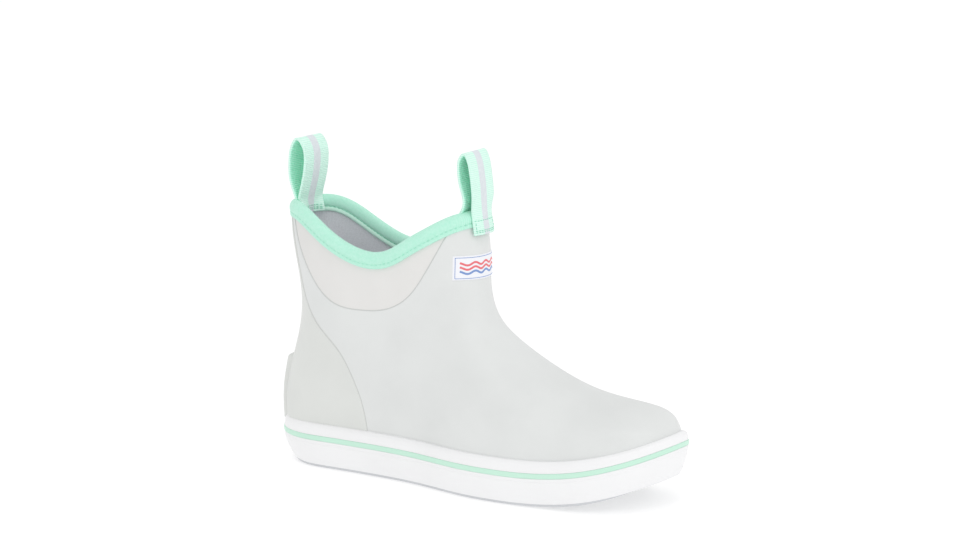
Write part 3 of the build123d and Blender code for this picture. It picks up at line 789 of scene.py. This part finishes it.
# ---------------------------------------------------------------- pull loops
def make_pull_loop(name, nodes, line, hinge, low, depths, front, yaw, pinch):
    """One webbing strap: from one sewn end on the collar up over in a loop and down to the other."""
    out_side = 1 if front else -1
    end_x = toe_x if front else heel_x
    outer_face, inner_face = Skin(depths[0]), Skin(depths[1])
    levels_up = np.arange(low, hinge[1] - 1.5, 2.5)
    first = [(float(end_x(SHAFT_Y, z, outer_face)), z) for z in levels_up]
    last = [(float(end_x(SHAFT_Y, z, inner_face)), z) for z in levels_up[::-1]]
    centre = along(first + list(line) + last, 0.24)
    run = np.arange(len(centre)) * 0.24
    slope = np.gradient(centre, axis=0)
    slope /= np.linalg.norm(slope, axis=1)[:, None]
    normal = np.column_stack([slope[:, 1], -slope[:, 0]]) * out_side
    half = WEBBING_WIDTH / 2
    stripe_side = np.r_[1.6, 3.3, 3.45, np.linspace(3.6, half - 0.5, 8)]
    widths = np.r_[-stripe_side[::-1], 0, stripe_side]
    rows, stripe_cols = [], []
    section = [(w, 1) for w in widths] + [(half - 0.15, 0.7), (half, 0), (half - 0.15, -0.7)]
    section += [(w, -1) for w in widths[::-1]] + [(-half + 0.15, -0.7), (-half, 0), (-half + 0.15, 0.7)]
    height = centre[:, 1]
    outer_leg = np.arange(len(centre)) < np.argmax(height)
    flat_early = smooth_step(hinge[1] - 9, hinge[1] + 1, height)
    free = np.where(outer_leg & front, smooth_step(hinge[1] - 2, hinge[1] + 10, height), flat_early)
    rib = np.abs(np.sin(np.pi * run / 1.15)) ** 0.7
    for w, face in section:
        sheet = np.zeros(len(centre))
        for leg, surface in ((outer_leg, outer_face), (~outer_leg, inner_face)):
            z = np.clip(height[leg], low, hinge[1] + 3)
            grid = np.linspace(low, hinge[1] + 3, 9)
            beside = SHAFT_Y + w * (1 - pinch)
            curve = [float(end_x(beside, g, surface) - end_x(SHAFT_Y, g, surface)) for g in grid]
            sheet[leg] = np.interp(z, grid, curve)
        in_stripe = abs(w) < 3.5 and face == 1
        thick = WEBBING / 2 * face
        if abs(face) == 1:
            selvedge = 0.12 * math.exp(-((abs(w) - 11.6) / 0.7) ** 2)
            relief = (0.05 if in_stripe else 0.16) * rib - 0.1 + selvedge + (0.12 if in_stripe else 0)
            thick = face * (WEBBING / 2 + relief)
        shift = sheet * (1 - free) + free * w * math.tan(math.radians(yaw))
        x = centre[:, 0] + normal[:, 0] * thick + shift
        z = centre[:, 1] + normal[:, 1] * thick
        y = SHAFT_Y + w * (1 - pinch * (1 - free))
        rows.append(np.column_stack([x, y, z]))
        stripe_cols.append(in_stripe)
    count = len(section)
    faces = grid_faces(count, len(centre), ring_rows=True)
    kinds = []
    for i in range(count):
        nxt = (i + 1) % count
        if stripe_cols[i] and stripe_cols[nxt]:
            kinds.append(1)
        else:
            # Faces on the strap's inner side take the darker webbing: painted shade.
            kinds.append(2 if section[i][1] < -0.5 and section[nxt][1] < -0.5 else 0)
    pick = np.repeat(kinds, len(centre) - 1)
    cloths = [WEB, WEB_STRIPE, WEB_INNER_SHADED]
    piece = add_piece(name, np.array(rows), faces, cloths, body=None, pick=pick, sharp=75)
    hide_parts(*nodes)
    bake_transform(piece)
    if front:
        tack_rows(name + "_tacks", outer_face, low, hinge[1], end_x, 1, pinch)
    tack_rows(name + "_inner_tacks", inner_face, low, hinge[1], end_x, -1 if front else 1, pinch)


def tack_rows(name, surface, low, high, end_x, direction, pinch):
    """Box stitching that holds one sewn end; direction is the way its face looks along X."""
    half = (WEBBING_WIDTH / 2 - 1.6) * (1 - pinch)
    lift = WEBBING / 2 + 0.12
    marks = []
    for z in (low + 1.6, low + 2.6, high - 5.5):
        marks += [(y, z, "across") for y in np.arange(-half, half + 0.1, 2.2)]
    for y in (-half, half):
        marks += [(y, z, "up") for z in np.arange(low + 4.2, high - 6.5, 2.2)]
    centres, tangents, normals = [], [], []
    for y, z, way in marks:
        here = np.array([end_x(SHAFT_Y + y, z, surface), SHAFT_Y + y, z])
        beside = np.array([end_x(SHAFT_Y + y + 0.5, z, surface), SHAFT_Y + y + 0.5, z]) - here
        above = np.array([end_x(SHAFT_Y + y, z + 0.5, surface), SHAFT_Y + y, z + 0.5]) - here
        normal = np.cross(beside, above)
        normal *= direction * np.sign(normal[0]) / np.linalg.norm(normal)
        tangent = beside if way == "across" else above
        centres.append(here + normal * lift)
        tangents.append(tangent / np.linalg.norm(tangent))
        normals.append(normal)
    add_stitches(name, np.array(centres), np.array(tangents), np.array(normals), 1.7, 0.24, THREAD)


# ---------------------------------------------------------------- badge
def turn_for_y(y, level):
    turn = np.linspace(1.4, 0.6, 161)
    ring = skin.at(turn, np.full(161, float(level)))
    return np.interp(y, ring[:, 1], turn)


def make_badge():
    low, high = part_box("front_badge")
    y_low, y_high = max(low[1] * 1000, BADGE_END), high[1] * 1000
    z_low, z_high = low[2] * 1000 - 0.8, high[2] * 1000 + 1.0
    ys = np.linspace(y_low, y_high, 60)
    rim = [(0, -0.3), (0, 0.25), (0.15, 0.45), (0.45, 0.55)]
    rows, cols = [], []
    zs = [(z_low + d, o) for d, o in rim] + [(z, 0.55) for z in np.linspace(z_low + 1, z_high - 1, 10)]
    zs += [(z_high - d, o) for d, o in rim[::-1]]
    zs += [(z, -0.4) for z in np.linspace(z_high - 0.5, z_low + 0.5, 5)]
    for z, out in zs:
        side = np.full(len(ys), 1.0)
        side[[0, -1]], side[[1, -2]] = -0.55, 0.8
        rows.append(skin.proud(turn_for_y(ys, z), np.full(len(ys), z), np.minimum(out, side * 0.55)))
    faces = grid_faces(len(rows), len(ys), ring_rows=True)
    piece = add_piece("badge_patch", np.array(rows), faces, [BADGE], sharp=60)
    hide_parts("front_badge")

    def strip(name, y, z, width, material, closed=False):
        turn = np.array([float(turn_for_y(a, b)) for a, b in zip(y, z)])
        w = width / 2
        profile = [(-w, 0.3), (-w, 0.6), (-w * 0.7, 0.66), (0, 0.69), (w * 0.7, 0.66), (w, 0.6), (w, 0.3)]
        points = skin.band(turn, np.asarray(z, float), profile, closed)
        add_piece(name, points, grid_faces(len(profile), len(turn), True, closed), [material], sharp=60)

    inset = 1.1
    for name, z in (("badge_border_low", z_low + inset), ("badge_border_high", z_high - inset)):
        y = np.linspace(y_low + inset, y_high - inset, 50)
        strip(name, y, np.full(50, z), 0.35, BADGE_BLUE)
    for name, y in (("badge_border_outer", y_low + inset), ("badge_border_inner", y_high - inset)):
        zs = np.linspace(z_low + inset, z_high - inset, 12)
        turn = np.array([float(turn_for_y(y, z)) for z in zs])
        grid = np.array([skin.proud(turn + s * 0.00125, zs, np.full(12, o)) for s, o in
                         ((-1, 0.3), (-1, 0.62), (0, 0.68), (1, 0.62), (1, 0.3))])
        add_piece(name, grid, grid_faces(5, 12, ring_rows=True), [BADGE_BLUE], sharp=60)
    centre = (z_low + z_high) / 2
    y = np.linspace(y_low + 2.8, y_high - 2.8, 110)
    for n, (shift, material) in enumerate(((2.5, BADGE_RED), (-0.1, BADGE_RED), (-2.7, BADGE_BLUE))):
        wave = 0.85 * np.sin((y - y_low) * 2 * np.pi / 8.2)
        strip(f"badge_wave_{n}", y, centre + shift + wave, 1.25, material)


# ---------------------------------------------------------------- build
make_vamp()
make_gore(-1, "outer_side_panel", "outer_gore")
make_gore(1, "inner_side_panel", "inner_gore")
make_counter()
make_kick_tab()
make_binding()
make_lining()
make_footbed()
make_foxing()
make_pull_loop("front_strap", ("front_pull_loop", "front_loop_ends"), FRONT_LOOP, FRONT_HINGE,
               FRONT_END_LOW, (-2.6, 7.2), True, -2.5, 0.17)
make_pull_loop("rear_strap", ("rear_pull_loop", "rear_loop_ends"), REAR_LOOP, REAR_HINGE,
               REAR_END_LOW, (7.1, 8.8), False, 0.0, 0.28)
make_badge()
make_tucked("outsole", "outsole_tread", SOLE)
make_tucked("heel_plate", "heel_plate_patch", PLATE)
make_tucked("midsole_filler", "filler_layer", FILLER)
make_tucked("insole_board", "insole_layer", BOARD)
make_tucked("toe_stiffener", "toe_stiffener_cap", TOE_SHEET)
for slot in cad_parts["heel_stiffener"].material_slots:
    slot.material = HEEL_SHEET

# ---------------------------------------------------------------- floor, light and camera
floor_mesh = bpy.data.meshes.new("floor")
reach = 6.0
corners = [(-reach, -reach, 0), (reach, -reach, 0), (reach, reach, 0), (-reach, reach, 0)]
floor_mesh.from_pydata(corners, [], [(0, 1, 2, 3)])
floor = bpy.data.objects.new("floor", floor_mesh)
bpy.context.scene.collection.objects.link(floor)
floor.location.z = -0.0004
floor_paint = Paint("floor_white", 0.9)
floor_paint.shader.inputs["Base Color"].default_value = (0.56, 0.56, 0.56, 1)
floor_paint.shader.inputs["Emission Color"].default_value = (1, 1, 1, 1)
floor_paint.shader.inputs["Emission Strength"].default_value = 0.5
floor_mesh.materials.append(floor_paint.material)

world = bpy.data.worlds.new("studio")
world.use_nodes = True
world.node_tree.nodes["Background"].inputs["Color"].default_value = (1, 1, 1, 1)
world.node_tree.nodes["Background"].inputs["Strength"].default_value = 0.9
bpy.context.scene.world = world
bpy.context.scene.view_settings.view_transform = "Standard"


def add_light(name, place, power, width, aim=(0, 0, 0.08)):
    data = bpy.data.lights.new(name, "AREA")
    data.energy, data.size = power, width
    light = bpy.data.objects.new(name, data)
    light.location = place
    light.rotation_euler = (Vector(aim) - Vector(place)).to_track_quat("-Z", "Y").to_euler()
    bpy.context.scene.collection.objects.link(light)


add_light("key", (0.5, -0.9, 1.5), 2.7, 0.9)
add_light("toe_fill", (1.3, -0.2, 0.9), 1.7, 0.7)

AZIMUTH, ELEVATION, DISTANCE, LENS = 32.18, 11.0, 1.8319, 112.4
target = Vector((0.00696, 0.0, 0.12674))
a, e = math.radians(AZIMUTH), math.radians(ELEVATION)
back = Vector((math.sin(a) * math.cos(e), -math.cos(a) * math.cos(e), math.sin(e)))
camera_data = bpy.data.cameras.new("camera")
camera_data.lens, camera_data.sensor_width, camera_data.clip_end = LENS, 36.0, 50.0
camera = bpy.data.objects.new("camera", camera_data)
camera.location = target + back * DISTANCE
camera.rotation_euler = (-back).to_track_quat("-Z", "Y").to_euler()
bpy.context.scene.collection.objects.link(camera)
bpy.context.scene.camera = camera
